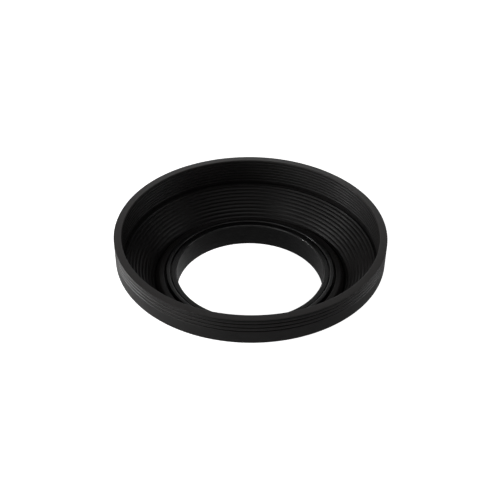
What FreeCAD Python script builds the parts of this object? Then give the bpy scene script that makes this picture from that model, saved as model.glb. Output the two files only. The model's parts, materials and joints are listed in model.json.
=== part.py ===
import FreeCAD, Part

import os

import Sketcher

# A collapsible wide-angle rubber lens hood on a screw-in aluminium mount. +Z is the optical axis,
# towards the open mouth, and the origin is the centre of the thread's rear end. Millimetres.
# Everything is round about the axis, so each piece is a section in the XZ plane, revolved.
SIZES = {
    # overall
    "front_height": 23.8,  # front lip above the rear end of the thread
    "rim_radius": 43.0,
    # rim: the stiff outer band of the rubber moulding
    "rim_foot_radius": 42.8,  # the band narrows a little towards its foot
    "rim_inner_radius": 40.55,
    "rim_depth": 8.6,
    "lip_round": 0.3,
    "lip_inner_round": 0.25,
    "grip_first": 1.6,  # grooves outside, measured down from the lip
    "grip_pitch": 1.32,
    "grip_count": 3,
    "grip_width": 0.7,
    "grip_depth": 0.35,
    "baffle_first": 1.0,  # grooves inside that trap stray light
    "baffle_pitch": 1.12,
    "baffle_count": 7,
    "baffle_width": 0.6,
    "baffle_depth": 0.3,
    # the two folds, where the moulding is thin enough to bend
    "front_fold_radius": 40.4,
    "front_fold_height": 14.3,
    "rear_fold_radius": 30.9,
    "rear_fold_height": 5.5,
    "fold_wall": 0.8,
    "fold_gap": 0.2,  # parts the cone from the rim, which moves
    # cone: the wall that turns inside out
    "cone_wall": 1.5,
    "cone_taper": 2.0,  # radial length over which the wall thins towards each fold
    "step_first": 1.0,  # grooves across the cone, measured in from the front fold
    "step_pitch": 0.97,
    "step_count": 9,
    "step_depth": 0.3,
    # collar: the end of the moulding that the two metal rings hold
    "bead_radius": 25.7,
    "collar_inner_radius": 27.6,
    "collar_inner_height": 7.6,
    "collar_outer_radius": 30.2,
    "collar_outer_height": 6.6,
    "collar_round": 0.4,
    # mount: thread, flange and hub in one turned ring
    "bore_radius": 23.9,
    "thread_radius": 26.0,  # M52 x 0.75 at its major diameter
    "thread_length": 3.2,
    "thread_lead": 0.4,
    "flange_radius": 29.5,
    "flange_top": 4.7,
    "hub_radius": 25.6,
    "hub_top": 7.8,
    "edge_break": 0.25,
    # retaining ring: sits round the hub and holds the bead down on the flange
    "ring_fit": 0.03,
    "ring_bottom": 6.4,
    "ring_top": 8.2,
    "ring_radius": 27.3,
    "slit_radius": 25.95,  # relief round the hub's front end
    "slit_bottom": 7.0,
}

doc = FreeCAD.newDocument("lens_hood")
sheet = doc.addObject("Spreadsheet::Sheet", "size")
for row, (alias, value) in enumerate(SIZES.items(), start=1):
    sheet.set(f"A{row}", alias)
    sheet.set(f"B{row}", str(value))
    sheet.setAlias(f"B{row}", alias)
doc.recompute()


def size(alias):
    return float(sheet.get(alias))


def origin_feature(body, role):
    return next(item for item in body.Origin.OriginFeatures if item.Role == role)


def new_body(name):
    body = doc.addObject("PartDesign::Body", name)
    body.Label = name
    body.Placement = FreeCAD.Placement()
    return body


def place(sketch, line, direction, where):
    """Puts the start of a line at a distance from the sketch's origin. where is an expression."""
    if where == "0":
        sketch.addConstraint(Sketcher.Constraint("PointOnObject", line, 1, -1))
        return
    number = sketch.addConstraint(Sketcher.Constraint(direction, -1, 1, line, 1, 10.0 + line))
    sketch.setExpression(f"Constraints[{number}]", where)


def draw(body, name, outlines):
    """A sketch in the XZ plane of closed outlines, whose corners are (radius, height) expressions."""
    sketch = body.newObject("Sketcher::SketchObject", name)
    sketch.AttachmentSupport = (origin_feature(body, "XZ_Plane"), [""])
    sketch.MapMode = "FlatFace"
    first = 0
    for corners in outlines:
        last = first + len(corners) - 1
        for line in range(first, last + 1):
            # any rough place will do, because the constraints move the corners
            start = FreeCAD.Vector(10 + line, 10 + line ** 2, 0)
            end = FreeCAD.Vector(11 + line, 10 + (line + 1) ** 2, 0)
            sketch.addGeometry(Part.LineSegment(start, end), False)
        for line, (radius, height) in enumerate(corners, start=first):
            following = first if line == last else line + 1
            sketch.addConstraint(Sketcher.Constraint("Coincident", line, 2, following, 1))
            place(sketch, line, "DistanceX", radius)
            place(sketch, line, "DistanceY", height)
        first = last + 1
    doc.recompute()
    return sketch


def turn(body, kind, sketch, name):
    """A full turn of the sketch about the axis. kind is Revolution, which adds, or Groove, which cuts."""
    feature = body.newObject(f"PartDesign::{kind}", name)
    feature.Profile = sketch
    feature.ReferenceAxis = (sketch, ["V_Axis"])
    feature.Angle = 360
    doc.recompute()
    return feature


def cut(body, sketch, name):
    before = body.Shape.Volume
    feature = turn(body, "Groove", sketch, name)
    if body.Shape.Volume > before - 1.0:
        raise RuntimeError(f"{name} cuts nothing")
    return feature


def repeat_down(body, groove, name, pitch, count):
    """Repeats a groove towards the rear, count times in all."""
    before = body.Shape.Volume
    pattern = body.newObject("PartDesign::LinearPattern", name)
    pattern.Originals = [groove]
    pattern.Direction = (origin_feature(body, "Z_Axis"), [""])
    pattern.Reversed = True
    pattern.setExpression("Length", f"{pitch} * ({count} - 1)")
    pattern.setExpression("Occurrences", count)
    body.Tip = pattern
    doc.recompute()
    if body.Shape.Volume > before - 1.0:
        raise RuntimeError(f"{name} repeats nothing")


def break_edges(body, kind, name, places, amount):
    """A Chamfer or Fillet along the body's round edges at the given (radius, height) places."""
    base = body.Tip
    edges = []
    for radius, height in places:
        for number, edge in enumerate(base.Shape.Edges, start=1):
            curve = edge.Curve
            if not isinstance(curve, Part.Circle):
                continue
            if abs(curve.Radius - radius) < 0.001 and abs(curve.Center.z - height) < 0.001:
                edges.append(f"Edge{number}")
    if len(edges) != len(places):
        raise RuntimeError(f"{name} finds {len(edges)} edges, not {len(places)}")
    feature = body.newObject(f"PartDesign::{kind}", name)
    feature.Base = (base, edges)
    feature.setExpression("Size" if kind == "Chamfer" else "Radius", amount)
    body.Tip = feature
    doc.recompute()


def notch(wall, tip, level, width):
    """A V groove in an upright wall: its mouth stands a little clear of the wall, its tip is inside it."""
    clear = f"{wall} + ({wall} - ({tip})) / 10"
    return [
        (clear, f"{level} + {width} / 2"),
        (clear, f"{level} - {width} / 2"),
        (tip, level),
    ]


def mount_ring():
    """Thread that enters the lens's filter thread, flange that stops on its front, and hub."""
    body = new_body("mount_ring")
    sketch = draw(body, "mount_section", [[
        ("size.bore_radius", "0"),
        ("size.thread_radius", "0"),
        ("size.thread_radius", "size.thread_length"),
        ("size.flange_radius", "size.thread_length"),
        ("size.flange_radius", "size.flange_top"),
        ("size.hub_radius", "size.flange_top"),
        ("size.hub_radius", "size.hub_top"),
        ("size.bore_radius", "size.hub_top"),
    ]])
    turn(body, "Revolution", sketch, "mount_turned")
    break_edges(
        body, "Chamfer", "thread_lead_in", [(size("thread_radius"), 0.0)], "size.thread_lead",
    )
    break_edges(body, "Chamfer", "mount_edges", [
        (size("bore_radius"), size("hub_top")),
        (size("flange_radius"), size("thread_length")),
        (size("flange_radius"), size("flange_top")),
    ], "size.edge_break")
    return body


def retaining_ring():
    """Ring round the hub that holds the rubber bead, with a narrow slit between its front and the hub."""
    body = new_body("retaining_ring")
    inner = "size.hub_radius + size.ring_fit"
    sketch = draw(body, "ring_section", [[
        (inner, "size.ring_bottom"),
        ("size.ring_radius", "size.ring_bottom"),
        ("size.ring_radius", "size.ring_top"),
        ("size.slit_radius", "size.ring_top"),
        ("size.slit_radius", "size.slit_bottom"),
        (inner, "size.slit_bottom"),
    ]])
    turn(body, "Revolution", sketch, "ring_turned")
    break_edges(body, "Chamfer", "ring_edges", [
        (size("slit_radius"), size("ring_top")),
        (size("ring_radius"), size("ring_top")),
    ], "size.edge_break")
    return body


def hood_collar():
    """Rear end of the moulding: a bead under the retaining ring and a rounded collar outside it."""
    body = new_body("hood_collar")
    sketch = draw(body, "collar_section", [[
        ("size.bead_radius", "size.flange_top"),
        ("size.rear_fold_radius", "size.flange_top"),
        ("size.rear_fold_radius", "size.rear_fold_height"),
        ("size.collar_outer_radius", "size.collar_outer_height"),
        ("size.collar_inner_radius", "size.collar_inner_height"),
        ("size.collar_inner_radius", "size.ring_bottom"),
        ("size.bead_radius", "size.ring_bottom"),
    ]])
    turn(body, "Revolution", sketch, "collar_turned")
    break_edges(body, "Fillet", "collar_crown", [
        (size("collar_outer_radius"), size("collar_outer_height")),
    ], "size.collar_round")
    return body


def hood_cone():
    """Wall between the folds, thin at both ends, with shallow steps across its inner face."""
    body = new_body("hood_cone")
    rise = "(size.front_fold_height - size.rear_fold_height)"
    run = "(size.front_fold_radius - size.rear_fold_radius)"

    def face(radius):
        """Height of the cone's inner face at a radius."""
        return f"size.rear_fold_height + ({radius} - size.rear_fold_radius) * {rise} / {run}"

    outer = "size.front_fold_radius - size.fold_gap"
    thick_from = "size.rear_fold_radius + size.cone_taper"
    thick_to = f"{outer} - size.cone_taper"
    section = draw(body, "cone_section", [[
        ("size.rear_fold_radius", "size.rear_fold_height - size.fold_wall"),
        (thick_from, f"{face(thick_from)} - size.cone_wall"),
        (thick_to, f"{face(thick_to)} - size.cone_wall"),
        (outer, f"{face(outer)} - size.fold_wall"),
        (outer, face(outer)),
        ("size.rear_fold_radius", "size.rear_fold_height"),
    ]])
    turn(body, "Revolution", section, "cone_turned")
    steps = []
    for number in range(int(size("step_count"))):
        middle = f"size.front_fold_radius - size.step_first - {number} * size.step_pitch"
        inside = f"{middle} - size.step_depth"
        outside = f"{middle} + size.step_depth"
        steps.append([
            (inside, f"{face(inside)} + size.step_depth / 10"),
            (middle, f"{face(middle)} - size.step_depth"),
            (outside, f"{face(outside)} + size.step_depth / 10"),
        ])
    cut(body, draw(body, "step_section", steps), "cone_steps")
    return body


def hood_rim():
    """Stiff front band: a flat lip, grip grooves outside and light-trap grooves inside."""
    body = new_body("hood_rim")
    section = draw(body, "rim_section", [[
        ("size.front_fold_radius", "size.front_fold_height - size.fold_wall"),
        ("size.rim_foot_radius", "size.front_height - size.rim_depth"),
        ("size.rim_radius", "size.front_height"),
        ("size.rim_inner_radius", "size.front_height"),
        ("size.rim_inner_radius", "size.front_fold_height + size.fold_gap"),
        ("size.front_fold_radius", "size.front_fold_height"),
    ]])
    turn(body, "Revolution", section, "rim_turned")
    break_edges(body, "Fillet", "lip_outer", [
        (size("rim_radius"), size("front_height")),
        (size("rim_foot_radius"), size("front_height") - size("rim_depth")),
    ], "size.lip_round")
    break_edges(body, "Fillet", "lip_inner", [
        (size("rim_inner_radius"), size("front_height")),
    ], "size.lip_inner_round")
    grip = notch(
        "size.rim_radius", "size.rim_radius - size.grip_depth",
        "size.front_height - size.grip_first", "size.grip_width",
    )
    groove = cut(body, draw(body, "grip_section", [grip]), "grip_groove")
    repeat_down(body, groove, "grip_grooves", "size.grip_pitch", "size.grip_count")
    baffle = notch(
        "size.rim_inner_radius", "size.rim_inner_radius + size.baffle_depth",
        "size.front_height - size.baffle_first", "size.baffle_width",
    )
    groove = cut(body, draw(body, "baffle_section", [baffle]), "baffle_groove")
    repeat_down(body, groove, "baffle_grooves", "size.baffle_pitch", "size.baffle_count")
    return body


def check_document(bodies):
    """Stops at anything that failed to rebuild, because recompute() doesn't."""
    for item in doc.Objects:
        faults = {"Invalid", "Error"} & set(item.State)
        if faults:
            raise RuntimeError(f"{item.Label} is {sorted(faults)}")
    for body in bodies:
        shape = body.Shape
        if shape.isNull() or not shape.isValid() or len(shape.Solids) != 1:
            raise RuntimeError(f"{body.Label} isn't one valid solid")


def export(bodies):
    os.makedirs("parts", exist_ok=True)
    for body in bodies:
        shape = body.Shape
        shape.exportStep(f"parts/{body.Label}.step")
        box = shape.BoundBox
        print(f"{body.Label}: {shape.Volume:.0f} mm3, z {box.ZMin:.2f} to {box.ZMax:.2f}")


bodies = [mount_ring(), retaining_ring(), hood_collar(), hood_cone(), hood_rim()]
doc.recompute()
check_document(bodies)
export(bodies)
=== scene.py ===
import json
import math
from collections import namedtuple

import bpy
import numpy as np
from mathutils import Matrix, Vector


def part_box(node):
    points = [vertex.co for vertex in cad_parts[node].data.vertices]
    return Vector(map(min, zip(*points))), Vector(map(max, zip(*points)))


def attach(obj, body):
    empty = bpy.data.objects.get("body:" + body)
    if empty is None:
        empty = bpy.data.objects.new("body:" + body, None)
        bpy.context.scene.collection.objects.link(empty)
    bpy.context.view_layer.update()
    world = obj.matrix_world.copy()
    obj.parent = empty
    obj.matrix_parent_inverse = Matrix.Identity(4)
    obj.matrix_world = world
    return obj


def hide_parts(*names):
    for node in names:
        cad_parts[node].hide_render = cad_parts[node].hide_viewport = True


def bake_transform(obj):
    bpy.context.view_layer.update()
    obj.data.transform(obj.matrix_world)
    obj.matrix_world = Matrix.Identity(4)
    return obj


# A collapsible rubber lens hood on a screw-in metal mount. Outlines are in millimetres, as (radius,
# height) in the frame of the CAD model, and every piece is an outline turned round the Z axis.
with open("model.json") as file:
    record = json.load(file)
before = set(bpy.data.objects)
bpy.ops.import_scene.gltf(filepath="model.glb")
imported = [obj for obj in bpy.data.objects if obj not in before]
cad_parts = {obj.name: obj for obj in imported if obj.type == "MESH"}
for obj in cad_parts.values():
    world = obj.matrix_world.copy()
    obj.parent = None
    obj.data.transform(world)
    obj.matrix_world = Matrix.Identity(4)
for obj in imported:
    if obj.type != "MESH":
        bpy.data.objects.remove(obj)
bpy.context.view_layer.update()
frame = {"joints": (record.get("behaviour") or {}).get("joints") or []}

MM = 0.001
SEGMENTS = 320  # round the axis
SPACING = 0.7  # the longest gap between points along a straight stretch
ARC_STEPS = 4  # along each rounded corner
LONGEST_ARC = 0.45  # share of a side that the rounded corner at one of its ends may take
SHORTEST_ARC = 0.002  # a corner with a smaller rounding stays a point
SMOOTH_ANGLE = 50  # degrees between two faces, above which their edge is drawn sharp
TONE_REACH = 0.12  # how far a corner's tone spreads along the flats beside it
DEEP = -1.0  # the tone of a hollow that hardly any light reaches, which the rubber paints darkest as painted shade
SHARP = 0.02  # the rounding at the bottom of a crease

# Rim: the stiff band in front
RIM_DEPTH = 8.6  # from lip to foot, outside
RIM_TAPER = 0.05  # the foot is this much smaller in radius than the lip
RIM_WALL = 2.45
GRIP_FIRST = 1.6  # grooves outside, measured down from the lip
GRIP_PITCH = 1.32
GRIP_COUNT = 3
FINE_LINE = 0.4  # below the lip
BAFFLE_FIRST = 1.0  # grooves inside, measured down from the lip
BAFFLE_PITCH = 1.12
BAFFLE_COUNT = 7

# The two folds, where the rubber is thin enough to bend. Each has a crease on its inner face.
FOLD_WALL = 0.8
FOLD_GAP = 0.2  # parts the cone from the rim in the CAD model
FRONT_CREASE_REACH = 0.9  # how far the crease's bottom lies outside the mouth's radius
FRONT_CREASE_DEPTH = 0.45  # how far below the fold it lies, and the rim's underside above the fold
FRONT_CREASE_SHELF = 0.7  # width of the rim's underside
REAR_CREASE_REACH = 0.05  # how far the crease's bottom lies inside the fold's radius
REAR_CREASE_DEPTH = 0.35

# Cone: the wall that turns inside out
STEP_FIRST = 1.0  # steps across the inner face, measured inwards from the front fold
STEP_PITCH = 0.97
STEP_COUNT = 9
ROLL_REACH = 0.35  # the rolled edge at the foot of the face stands this far outside the rear fold
ROLL_HEIGHT = 0.5  # and this far above it
BACK_TAPER_REAR = (2.0, 0.35)  # radius and height from the rear fold to where the wall is thick
BACK_TAPER_FRONT = (2.2, 3.5)  # and from the front fold
BOW = 0.35  # how proud the middle of the wall stands

# Collar: its crown goes by steps in radius and height from the rear fold and the collar's top
CROWN_FOOT = (0.3, 0.75)
CROWN_SHOULDER = (1.2, 0.2)
CROWN_EDGE = (0.4, 0.05)
CROWN_DROP = 0.6  # down the side beside the retaining ring
COLLAR_GAP = 0.3  # between the collar and the ring
BEAD_GAP = 0.1  # between the bead and the hub

# Retaining ring
RING_FIT = 0.03  # between the ring and the hub
SLIT_WIDTH = 0.35
SLIT_BOTTOM = 7.0

# Mount: a ring with a thread of M52 x 0.75 at its rear
BORE_RADIUS = 23.9
HUB_RADIUS = 25.6
THREAD_RADIUS = 26.0
THREAD_LENGTH = 3.2
THREAD_PITCH = 0.75
THREAD_DEPTH = 0.46
THREAD_STEEPNESS = 1.6  # of the flanks: above 1 leaves flat crests and roots
THREAD_FLAT = (THREAD_STEEPNESS - 1) / 2  # makes both flats the same
THREAD_START = 0.05  # the thread deepens from here over the chamfer's height
THREAD_CHAMFER = 0.4
THREAD_RUN_OUT = 0.3  # and fades over this height below the relief groove
THREAD_BAND = 0.5  # only points this near to the thread's radius are on it
THREAD_ROWS = 60
RELIEF_DEPTH = 0.35  # the groove between thread and flange
RELIEF_HEIGHT = 0.15

# Slow waves round the rubber: how many to a turn, how high, and the angle in radians they start at
OUTWARD_WAVES = ((2, 0.03, 0.7), (3, 0.015, 2.1), (7, 0.01, 4.0))
UPWARD_WAVES = ((2, 0.03, 2.6), (5, 0.02, 0.9))
WAVE_ROOM = 0.05  # moves the rubber inwards and down, so that the waves stay inside the CAD model's box


def box_mm(node):
    low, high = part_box(node)
    return low / MM, high / MM


rim_low, rim_high = box_mm("hood_rim")
cone_low, cone_high = box_mm("hood_cone")
collar_low, collar_high = box_mm("hood_collar")
ring_low, ring_high = box_mm("retaining_ring")
mount_high = box_mm("mount_ring")[1]
hood_fold = next(joint for joint in frame["joints"] if joint["name"] == "hood_fold")
travel = hood_fold["range_m"][0] / MM

# Heights and radii that follow from the CAD model's boxes and the sizes above
front = rim_high.z
rim_radius = rim_high.x
rim_foot_radius = rim_radius - RIM_TAPER
rim_foot = front - RIM_DEPTH
mouth_radius = rim_radius - RIM_WALL
front_fold_radius = cone_high.x + FOLD_GAP
front_fold = rim_low.z + FOLD_WALL
rear_fold_radius = collar_high.x
rear_fold = cone_low.z + FOLD_WALL
# the bottoms of the two creases
front_crease = (mouth_radius + FRONT_CREASE_REACH, front_fold - FRONT_CREASE_DEPTH)
rear_crease = (rear_fold_radius - REAR_CREASE_REACH, rear_fold - REAR_CREASE_DEPTH)
ring_radius = ring_high.x
ring_bottom = ring_low.z
ring_top = ring_high.z
slit_radius = HUB_RADIUS + SLIT_WIDTH
collar_radius = ring_radius + COLLAR_GAP
collar_top = collar_high.z
bead_radius = HUB_RADIUS + BEAD_GAP
flange_radius = mount_high.x
flange_top = collar_low.z
hub_top = mount_high.z


# Outlines and turned meshes

# A corner of an outline. Its tone is above 0 on an edge, which the rubber paints lighter, partly as wear
# and partly as painted light, and below 0 in a hollow, which the rubber paints darker as painted shade;
# along is the same for the stretch from this corner to the next.
Corner = namedtuple("Corner", "radius height rounding tone along", defaults=(0.05, 0.0, 0.0))


def grooves(start, end, distances, width, depth, last_depth=None, dark=1.0, edge=0.1):
    """Corners of V grooves into the stretch from start to end, at distances along it. Their bottoms take
    the tone -dark, which paints shade into them on the rubber, and their edges the tone edge, which paints
    them lighter, partly as wear and partly as painted light.
    """
    start, end = np.array(start), np.array(end)
    along = (end - start) / np.linalg.norm(end - start)
    inward = np.array([-along[1], along[0]])  # the solid is on the left of an outline
    depths = np.linspace(depth, last_depth or depth, len(distances))
    corners = []
    for distance, groove_depth in zip(distances, depths):
        middle = start + along * distance
        first = middle - along * width / 2
        last = middle + along * width / 2
        bottom = middle + inward * groove_depth
        corners.append(Corner(*first, rounding=width / 3, tone=edge))
        corners.append(Corner(*bottom, rounding=width / 4, tone=-dark))
        corners.append(Corner(*last, rounding=width / 3, tone=edge))
    return corners


def round_corner(before, here, after):
    """The points of one corner, rounded by a curve that is tangent to both its sides."""
    point = np.array([here.radius, here.height])
    back = np.array([before.radius, before.height]) - point
    ahead = np.array([after.radius, after.height]) - point
    back_length, ahead_length = np.linalg.norm(back), np.linalg.norm(ahead)
    back, ahead = back / back_length, ahead / ahead_length
    half = math.acos(np.clip(back @ ahead, -1, 1)) / 2
    longest = LONGEST_ARC * min(back_length, ahead_length)
    reach = min(here.rounding / math.tan(half), longest)
    if reach < SHORTEST_ARC:
        return [(*point, here.tone)]
    points = []
    for share in np.linspace(0, 1, ARC_STEPS + 1):
        from_back = (1 - share) ** 2 * (point + back * reach)
        from_corner = 2 * share * (1 - share) * point
        from_ahead = share ** 2 * (point + ahead * reach)
        points.append((*(from_back + from_corner + from_ahead), here.tone))
    return points


def sample(corners):
    """A closed outline as rows of radius, height and tone."""
    befores = corners[-1:] + corners[:-1]
    afters = corners[1:] + corners[:1]
    arcs = [round_corner(*three) for three in zip(befores, corners, afters)]
    rows = []
    for here, arc, next_arc in zip(corners, arcs, arcs[1:] + arcs[:1]):
        rows += arc
        start = np.array(arc[-1][:2])
        step = np.array(next_arc[0][:2]) - start
        length = np.linalg.norm(step)
        if length < 3 * TONE_REACH:
            continue
        pieces = math.ceil((length - 2 * TONE_REACH) / SPACING)
        for share in np.linspace(TONE_REACH / length, 1 - TONE_REACH / length, pieces + 1):
            rows.append((*(start + step * share), here.along))
    return np.array(rows)


def add_object(name, data):
    item = bpy.data.objects.new(name, data)
    bpy.context.scene.collection.objects.link(item)
    return item


def turned(name, corners, reshape=None):
    """A solid of revolution, with the outline's tone in a point attribute of its mesh. reshape moves
    the points, given as their radii, heights and angles."""
    section = sample(corners)
    count = len(section)
    angle = np.linspace(0, 2 * math.pi, SEGMENTS, endpoint=False)[:, None]
    radius = np.repeat(section[None, :, 0], SEGMENTS, axis=0)
    height = np.repeat(section[None, :, 1], SEGMENTS, axis=0)
    if reshape:
        radius, height = reshape(radius, height, angle)
    places = np.stack([radius * np.cos(angle), radius * np.sin(angle), height], axis=-1) * MM
    here = np.arange(SEGMENTS * count).reshape(SEGMENTS, count)
    beside = np.roll(here, -1, axis=0)
    quads = np.stack([here, beside, np.roll(beside, -1, axis=1), np.roll(here, -1, axis=1)], axis=-1)
    mesh = bpy.data.meshes.new(name)
    mesh.from_pydata(places.reshape(-1, 3).tolist(), [], quads.reshape(-1, 4).tolist())
    tone = mesh.attributes.new("tone", "FLOAT", "POINT")
    tone.data.foreach_set("value", np.tile(section[:, 2], SEGMENTS).astype(np.float32))
    mesh.shade_smooth()
    mesh.set_sharp_from_angle(angle=math.radians(SMOOTH_ANGLE))
    return add_object(name, mesh)


def waves(table, angle):
    return sum(height * np.sin(count * angle + start) for count, height, start in table)


def soften(radius, height, angle):
    """The small unevenness of a soft moulding, which grows from the rear fold outwards."""
    outward = np.clip((radius - rear_fold_radius) / (rim_radius - rear_fold_radius), 0, 1)
    softened_radius = radius + (waves(OUTWARD_WAVES, angle) - WAVE_ROOM) * outward
    softened_height = height + (waves(UPWARD_WAVES, angle) - WAVE_ROOM) * outward
    return softened_radius, softened_height


def bow(radius, height, angle):
    """The cone stands a little proud between the two folds."""
    share = np.clip((radius - rear_fold_radius) / (front_fold_radius - rear_fold_radius), 0, 1)
    return soften(radius, height + BOW * 4 * share * (1 - share), angle)


def cut_thread(radius, height, angle):
    """Sinks a right-handed thread into the wall at the thread's radius, faded at both its ends."""
    turn = (height / THREAD_PITCH - angle / (2 * math.pi)) % 1.0
    flank = np.clip(np.abs(2 * turn - 1) * THREAD_STEEPNESS - THREAD_FLAT, 0, 1)
    lead_in = np.clip((height - THREAD_START) / THREAD_CHAMFER, 0, 1)
    run_out = np.clip((THREAD_LENGTH - RELIEF_HEIGHT - height) / THREAD_RUN_OUT, 0, 1)
    sunk = THREAD_DEPTH * flank * (lead_in * run_out)
    return np.where(radius > THREAD_RADIUS - THREAD_BAND, radius - sunk, radius), height


# The pieces. Each outline runs with its solid on the left.


def make_rim():
    """Grip grooves and a fine line under the lip outside, light-trap grooves inside."""
    foot = (rim_foot_radius, rim_foot)
    lip = (rim_radius, front)
    inner_lip = (mouth_radius, front)
    inner_foot = (mouth_radius, front_fold + FRONT_CREASE_DEPTH)
    length = front - rim_foot
    grips = [length - GRIP_FIRST - GRIP_PITCH * number for number in reversed(range(GRIP_COUNT))]
    baffles = [BAFFLE_FIRST + BAFFLE_PITCH * number for number in range(BAFFLE_COUNT)]
    # The grooves' bottoms, the shelf and the crease are painted dark as shade, and the lip's top and edges
    # are painted lighter, partly as wear and partly as painted light.
    return turned("rubber_rim", [
        Corner(front_fold_radius, front_fold - FOLD_WALL, rounding=0.1),
        Corner(*foot, rounding=0.25, tone=0.2),
        *grooves(foot, lip, grips, width=0.55, depth=0.34, edge=0.6),
        *grooves(foot, lip, [length - FINE_LINE], width=0.35, depth=0.16),
        Corner(*lip, rounding=0.2, tone=0.6, along=0.8),
        Corner(*inner_lip, rounding=0.25, tone=0.6),
        *grooves(inner_lip, inner_foot, baffles, width=0.75, depth=0.4, dark=0.6),
        Corner(*inner_foot, rounding=0.15, tone=-0.3),
        Corner(inner_foot[0] + FRONT_CREASE_SHELF, inner_foot[1], rounding=0.1, tone=DEEP),
        Corner(*front_crease, rounding=SHARP, tone=DEEP),
    ], reshape=soften)


def make_cone():
    """Shallow steps across the inner face, which end in a rolled edge above the rear fold."""
    top = (front_fold_radius, front_fold)
    roll = (rear_fold_radius + ROLL_REACH, rear_fold + ROLL_HEIGHT)
    slope = (top[1] - roll[1]) / (top[0] - roll[0])
    lengthen = math.hypot(1, slope)  # along the face for each millimetre of radius
    steps = [(STEP_FIRST + STEP_PITCH * number) * lengthen for number in range(STEP_COUNT)]
    thick_from = (rear_fold_radius + BACK_TAPER_REAR[0], rear_fold + BACK_TAPER_REAR[1])
    thick_to = (front_fold_radius - BACK_TAPER_FRONT[0], front_fold - BACK_TAPER_FRONT[1])

    def face(inset, below=0.0):
        """A place on the inner face, or a little below it."""
        return top[0] - inset, top[1] - slope * inset - below

    # The crease and the steps' bottoms are painted dark as shade, and the rolled edge is painted lighter,
    # partly as wear and partly as painted light.
    return turned("rubber_cone", [
        Corner(rear_fold_radius, rear_fold - FOLD_WALL, rounding=SHARP),
        Corner(*thick_from, rounding=1.5),
        Corner(*thick_to, rounding=1.5),
        Corner(front_fold_radius, front_fold - FOLD_WALL, rounding=SHARP),
        Corner(*front_crease, rounding=SHARP, tone=DEEP),
        Corner(*face(inset=0.2, below=0.5), rounding=0.1, tone=DEEP),
        Corner(*face(inset=0.45), rounding=0.12, tone=-0.3),
        *grooves(top, roll, steps, width=0.9, depth=0.32, last_depth=0.13, dark=0.15),
        Corner(*roll, rounding=0.5, tone=0.3),
        Corner(*rear_crease, rounding=SHARP, tone=DEEP),
    ], reshape=bow)


def make_collar():
    """The bead under the retaining ring, and a crowned collar outside it."""
    crown_foot = (rear_fold_radius - CROWN_FOOT[0], rear_fold + CROWN_FOOT[1])
    crown_shoulder = (rear_fold_radius - CROWN_SHOULDER[0], collar_top - CROWN_SHOULDER[1])
    crown_edge = (collar_radius + CROWN_EDGE[0], collar_top - CROWN_EDGE[1])
    # The crease and the gap beside the ring are painted dark as shade, and the crown is painted lighter,
    # partly as wear and partly as painted light.
    return turned("rubber_collar", [
        Corner(bead_radius, flange_top),
        Corner(rear_fold_radius, flange_top, rounding=0.1),
        Corner(*rear_crease, rounding=SHARP, tone=DEEP),
        Corner(*crown_foot, rounding=0.3, tone=0.3, along=0.35),
        Corner(*crown_shoulder, rounding=0.8, tone=0.35, along=0.35),
        Corner(*crown_edge, rounding=0.4, tone=0.35),
        Corner(collar_radius, collar_top - CROWN_DROP, rounding=0.2, tone=DEEP),
        Corner(collar_radius, ring_bottom, rounding=SHARP, tone=DEEP),
        Corner(bead_radius, ring_bottom),
    ])


def make_ring():
    """The retaining ring, with a dark slit between its front and the hub."""
    inner = HUB_RADIUS + RING_FIT
    return turned("metal_retaining_ring", [
        Corner(inner, ring_bottom),
        Corner(ring_radius, ring_bottom),
        Corner(ring_radius, ring_top, rounding=0.25, tone=0.5),
        Corner(slit_radius, ring_top, rounding=0.3, tone=1.0),
        Corner(slit_radius, SLIT_BOTTOM, rounding=SHARP, tone=DEEP),
        Corner(inner, SLIT_BOTTOM, rounding=SHARP, tone=DEEP),
    ])


def make_mount():
    """Thread, relief groove, flange and hub in one ring."""
    thread_wall = [
        Corner(THREAD_RADIUS, height, rounding=0.0, tone=0.15)
        for height in np.linspace(THREAD_CHAMFER, THREAD_LENGTH - THREAD_RUN_OUT, THREAD_ROWS)
    ]
    relief_radius = THREAD_RADIUS - RELIEF_DEPTH
    return turned("metal_mount", [
        Corner(BORE_RADIUS, 0.0, rounding=0.1, tone=0.5),
        Corner(THREAD_RADIUS - THREAD_CHAMFER, 0.0, rounding=0.05, tone=0.6),
        *thread_wall,
        Corner(relief_radius, THREAD_LENGTH - RELIEF_HEIGHT, rounding=0.05, tone=-0.6),
        Corner(relief_radius, THREAD_LENGTH, rounding=0.05, tone=DEEP),
        Corner(flange_radius, THREAD_LENGTH, rounding=0.2, tone=0.5),
        Corner(flange_radius, flange_top, rounding=0.2, tone=0.5),
        Corner(HUB_RADIUS, flange_top, rounding=SHARP),
        Corner(HUB_RADIUS, hub_top, rounding=0.12, tone=0.5),
        Corner(BORE_RADIUS, hub_top, rounding=0.4, tone=1.0),
    ], reshape=cut_thread)


# Materials

WHITE = (1, 1, 1, 1)

RUBBER_DARK = (0.0085, 0.0077, 0.0078, 1)
RUBBER_LIGHT = (0.0125, 0.0112, 0.0110, 1)
# lighter colour of edges and of the lip's and collar's tops: partly wear, partly painted light
RUBBER_WORN_AND_LIT = (0.045, 0.041, 0.040, 1)
# painted shade, darkening the rubber's grooves, creases and hollows
RUBBER_HOLLOW_SHADE = (0.002, 0.002, 0.002, 1)
HOLLOW_SHADE_SHARE = 0.8  # share of the painted shade colour at the deepest places
HOLLOW_DULLNESS = 0.4  # the roughness that they gain
RUBBED_POLISH = 0.06  # and the roughness that the most rubbed edges lose

ANODISED_DARK = (0.006, 0.006, 0.0065, 1)
ANODISED_LIGHT = (0.012, 0.012, 0.0125, 1)
BARE_ALUMINIUM = (0.60, 0.60, 0.59, 1)
BARE_SHARE = 0.12  # of bare metal at the most worn edges
WORN_POLISH = 0.14  # the roughness that they lose
TOOL_MARKS = 9000.0  # to the metre


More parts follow.
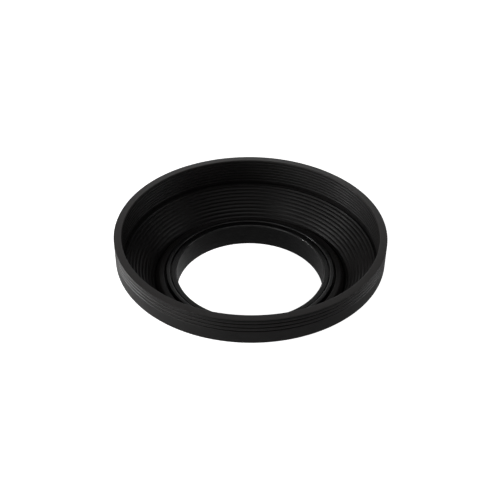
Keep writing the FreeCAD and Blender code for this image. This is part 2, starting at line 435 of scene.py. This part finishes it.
class Nodes:
    """A material's node tree, built a node at a time."""

    # The Mix node has sockets of the same names for every kind of value, so its colours go by number.
    MIX_SHARE = 0
    MIX_FIRST = 6
    MIX_SECOND = 7
    MIX_RESULT = 2

    def __init__(self, name):
        self.material = bpy.data.materials.new(name)
        self.material.use_nodes = True
        self.tree = self.material.node_tree
        self.shader = self.tree.nodes["Principled BSDF"]

    def add(self, kind, settings=None, **inputs):
        """A node, with its inputs given as values or as other nodes' outputs. _0 is its first input."""
        node = self.tree.nodes.new(kind)
        for key, value in (settings or {}).items():
            setattr(node, key, value)
        for key, value in inputs.items():
            name = int(key[1:]) if key.startswith("_") else key.replace("_", " ")
            self.join(node.inputs[name], value)
        return node

    def join(self, socket, value):
        if isinstance(value, bpy.types.NodeSocket):
            self.tree.links.new(value, socket)
        else:
            socket.default_value = value

    def maths(self, operation, *values):
        inputs = {f"_{number}": value for number, value in enumerate(values)}
        return self.add("ShaderNodeMath", {"operation": operation}, **inputs).outputs[0]

    def span(self, value, low, high, to_low=0.0, to_high=1.0):
        """value's range low to high, mapped to another range and held at its ends."""
        node = self.add("ShaderNodeMapRange", {"clamp": True})
        for socket, number in zip(node.inputs, (value, low, high, to_low, to_high)):
            self.join(socket, number)
        return node.outputs[0]

    def mix(self, share, first, second):
        """A colour between two others."""
        node = self.add("ShaderNodeMix", {"data_type": "RGBA"})
        self.join(node.inputs[self.MIX_SHARE], share)
        self.join(node.inputs[self.MIX_FIRST], first)
        self.join(node.inputs[self.MIX_SECOND], second)
        return node.outputs[self.MIX_RESULT]

    def place(self):
        """The place on the piece, in metres."""
        return self.add("ShaderNodeTexCoord").outputs["Object"]

    def noise(self, size_mm, detail=2.0, roughness=0.5):
        """Noise whose lumps are about size_mm across."""
        node = self.add(
            "ShaderNodeTexNoise", Vector=self.place(), Scale=1 / (size_mm * MM), Detail=detail,
            Roughness=roughness,
        )
        return node.outputs[0]

    def tone(self):
        return self.add("ShaderNodeAttribute", {"attribute_name": "tone"}).outputs["Fac"]

    def bump(self, height, depth_mm, **inputs):
        distance = depth_mm * MM
        node = self.add("ShaderNodeBump", Height=height, Strength=1.0, Distance=distance, **inputs)
        return node.outputs[0]

    def shade(self, **inputs):
        """The material, with these inputs of its shader."""
        for key, value in inputs.items():
            self.join(self.shader.inputs[key.replace("_", " ")], value)
        return self.material


def make_rubber():
    """Matte moulded rubber: a fine grain, slow changes of tone, polished edges and dull hollows. Edges and
    the stretches given an along tone are painted lighter, partly as wear and partly as painted light, and
    hollows are painted darker as painted shade.
    """
    nodes = Nodes("moulded_rubber")
    tone = nodes.tone()
    edge = nodes.span(tone, 0.0, 1.0)
    hollow = nodes.span(tone, 0.0, -1.0)

    patches = nodes.span(nodes.noise(9.0, detail=3.0), 0.35, 0.65)
    mottled = nodes.mix(patches, RUBBER_DARK, RUBBER_LIGHT)
    # edges and the lip's and collar's tops painted lighter, partly as wear and partly as painted light
    worn_and_lit = nodes.mix(edge, mottled, RUBBER_WORN_AND_LIT)
    # hollows painted darker as painted shade
    colour = nodes.mix(nodes.maths("MULTIPLY", hollow, HOLLOW_SHADE_SHARE), worn_and_lit, RUBBER_HOLLOW_SHADE)

    matte = nodes.span(nodes.noise(3.0, detail=4.0), 0.2, 0.8, to_low=0.38, to_high=0.48)
    polished = nodes.maths("SUBTRACT", matte, nodes.maths("MULTIPLY", edge, RUBBED_POLISH))
    roughness = nodes.maths("ADD", polished, nodes.maths("MULTIPLY", hollow, HOLLOW_DULLNESS))

    unevenness = nodes.bump(nodes.noise(1.4), depth_mm=0.015)
    grain = nodes.bump(nodes.noise(0.3, detail=3.0, roughness=0.6), depth_mm=0.009, Normal=unevenness)
    return nodes.shade(Base_Color=colour, Roughness=roughness, Normal=grain, Specular_IOR_Level=0.45)


def make_metal():
    """Black anodised aluminium, with tool marks round the axis and a little bare metal on its edges."""
    nodes = Nodes("black_anodised")
    edge = nodes.span(nodes.tone(), 0.2, 1.0)

    parts = nodes.add("ShaderNodeSeparateXYZ", Vector=nodes.place())
    x_squared = nodes.maths("POWER", parts.outputs["X"], 2.0)
    y_squared = nodes.maths("POWER", parts.outputs["Y"], 2.0)
    radius = nodes.maths("SQRT", nodes.maths("ADD", x_squared, y_squared))
    across = nodes.maths("ADD", radius, parts.outputs["Z"])
    marks = nodes.add(
        "ShaderNodeTexNoise", {"noise_dimensions": "1D"}, W=across, Scale=TOOL_MARKS, Detail=3.0,
    ).outputs[0]

    worn = nodes.maths("MULTIPLY", edge, nodes.span(nodes.noise(1.6, detail=4.0), 0.35, 0.65, to_low=0.7))
    bare = nodes.maths("MULTIPLY", worn, BARE_SHARE)
    patches = nodes.span(nodes.noise(5.0), 0.4, 0.7)
    dusty = nodes.mix(patches, ANODISED_DARK, ANODISED_LIGHT)
    colour = nodes.mix(bare, dusty, BARE_ALUMINIUM)

    satin = nodes.span(marks, 0.3, 0.7, to_low=0.26, to_high=0.38)
    roughness = nodes.maths("SUBTRACT", satin, nodes.maths("MULTIPLY", edge, WORN_POLISH))
    return nodes.shade(
        Base_Color=colour, Metallic=bare, Roughness=roughness, Normal=nodes.bump(marks, depth_mm=0.004),
        Specular_IOR_Level=0.55, Anisotropic=0.4,
    )


# Stage

FLOOR_REACH = 40  # rim radii from the middle to each side
FLOOR_COLOUR = (0.8, 0.8, 0.8, 1)  # as the object sees it

# Square softboxes, aimed half a rim radius above the mount's rear: name, place and size in rim radii,
# and power in watts
SOFTBOXES = (
    ("left", (-7.0, 0.0, 3.2), 0.8, 0.13),
    ("left_low", (-5.0, 0.5, 1.0), 2.0, 0.27),
    ("left_front", (-6.0, -5.5, 2.5), 4.0, 0.26),
    ("right", (8.0, 0.0, 2.5), 4.0, 0.09),
    ("right_low", (5.0, 0.5, 1.0), 2.0, 0.07),
    ("back", (0.0, 14.0, 5.3), 8.8, 0.45),
    ("overhead", (0.0, 0.0, 9.0), 6.0, 0.15),
)
LIGHTS_TARGET = Vector((0, 0, 0.5))

CAMERA_PLACE = Vector((-0.003, -5.633, 4.159))  # from the middle of the mouth, in rim radii
CAMERA_DOWN = 37.68  # degrees below level
CAMERA_ROLL = 0.69  # degrees
CAMERA_LENS = 68.7
CAMERA_SENSOR = 36.0


def make_floor():
    """A plain white floor, level with the rim's foot when the hood is folded back, so that it never cuts
    the rim. The camera sees it evenly white, the object sees it lit and shaded, and from below it is clear.
    """
    reach = FLOOR_REACH * rim_radius * MM
    height = (rim_low.z + travel) * MM
    corners = [(x * reach, y * reach, height) for x, y in ((-1, -1), (1, -1), (1, 1), (-1, 1))]
    mesh = bpy.data.meshes.new("floor")
    mesh.from_pydata(corners, [], [(0, 1, 2, 3)])
    nodes = Nodes("pale_floor")
    seen = nodes.add("ShaderNodeLightPath").outputs["Is Camera Ray"]
    from_below = nodes.add("ShaderNodeNewGeometry").outputs["Backfacing"]
    mesh.materials.append(nodes.shade(
        Base_Color=FLOOR_COLOUR, Roughness=0.9, Specular_IOR_Level=0.1,
        Emission_Color=WHITE, Emission_Strength=seen, Alpha=nodes.maths("SUBTRACT", 1.0, from_below),
    ))
    add_object("floor", mesh)


def make_background():
    """A background that the camera sees evenly white and that lights nothing."""
    world = bpy.data.worlds.new("studio")
    bpy.context.scene.world = world
    world.use_nodes = True
    background = world.node_tree.nodes["Background"]
    background.inputs["Color"].default_value = WHITE
    seen = world.node_tree.nodes.new("ShaderNodeLightPath").outputs["Is Camera Ray"]
    world.node_tree.links.new(seen, background.inputs["Strength"])


def make_light(name, place, size, power):
    data = bpy.data.lights.new(name, "AREA")
    data.shape = "SQUARE"
    data.size = size * rim_radius * MM
    data.energy = power
    light = add_object(name, data)
    light.location = Vector(place) * rim_radius * MM
    away = light.location - LIGHTS_TARGET * rim_radius * MM
    light.rotation_euler = away.to_track_quat("Z", "Y").to_euler()


def make_camera():
    """Looks down into the mouth from the front, with the horizon a little off level."""
    data = bpy.data.cameras.new("camera")
    data.lens = CAMERA_LENS
    data.sensor_width = CAMERA_SENSOR
    camera = add_object("camera", data)
    place = Vector((0, 0, front)) + rim_radius * CAMERA_PLACE
    pitch = Matrix.Rotation(math.radians(90 - CAMERA_DOWN), 4, "X")
    roll = Matrix.Rotation(math.radians(CAMERA_ROLL), 4, "Z")
    camera.matrix_world = Matrix.Translation(place * MM) @ pitch @ roll
    bpy.context.scene.camera = camera


# Joining the pieces to the frame


def dress(piece, material, body, node):
    """Gives the piece its material, hides the CAD part it replaces and attaches it to its body. The cone
    has no body here, so it stays unattached.
    """
    piece.data.materials.append(material)
    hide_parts(node)
    if body:
        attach(piece, body)


def fold_with_radius(cone):
    """Bakes the cone's transform into its mesh."""
    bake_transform(cone)


rubber = make_rubber()
metal = make_metal()
dress(make_rim(), rubber, "rim", "hood_rim")
dress(make_collar(), rubber, "mount", "hood_collar")
dress(make_ring(), metal, "mount", "retaining_ring")
dress(make_mount(), metal, "mount", "mount_ring")
cone_piece = make_cone()
dress(cone_piece, rubber, None, "hood_cone")
fold_with_radius(cone_piece)

make_floor()
make_background()
for softbox in SOFTBOXES:
    make_light(*softbox)
make_camera()
bpy.context.scene.view_settings.view_transform = "Standard"
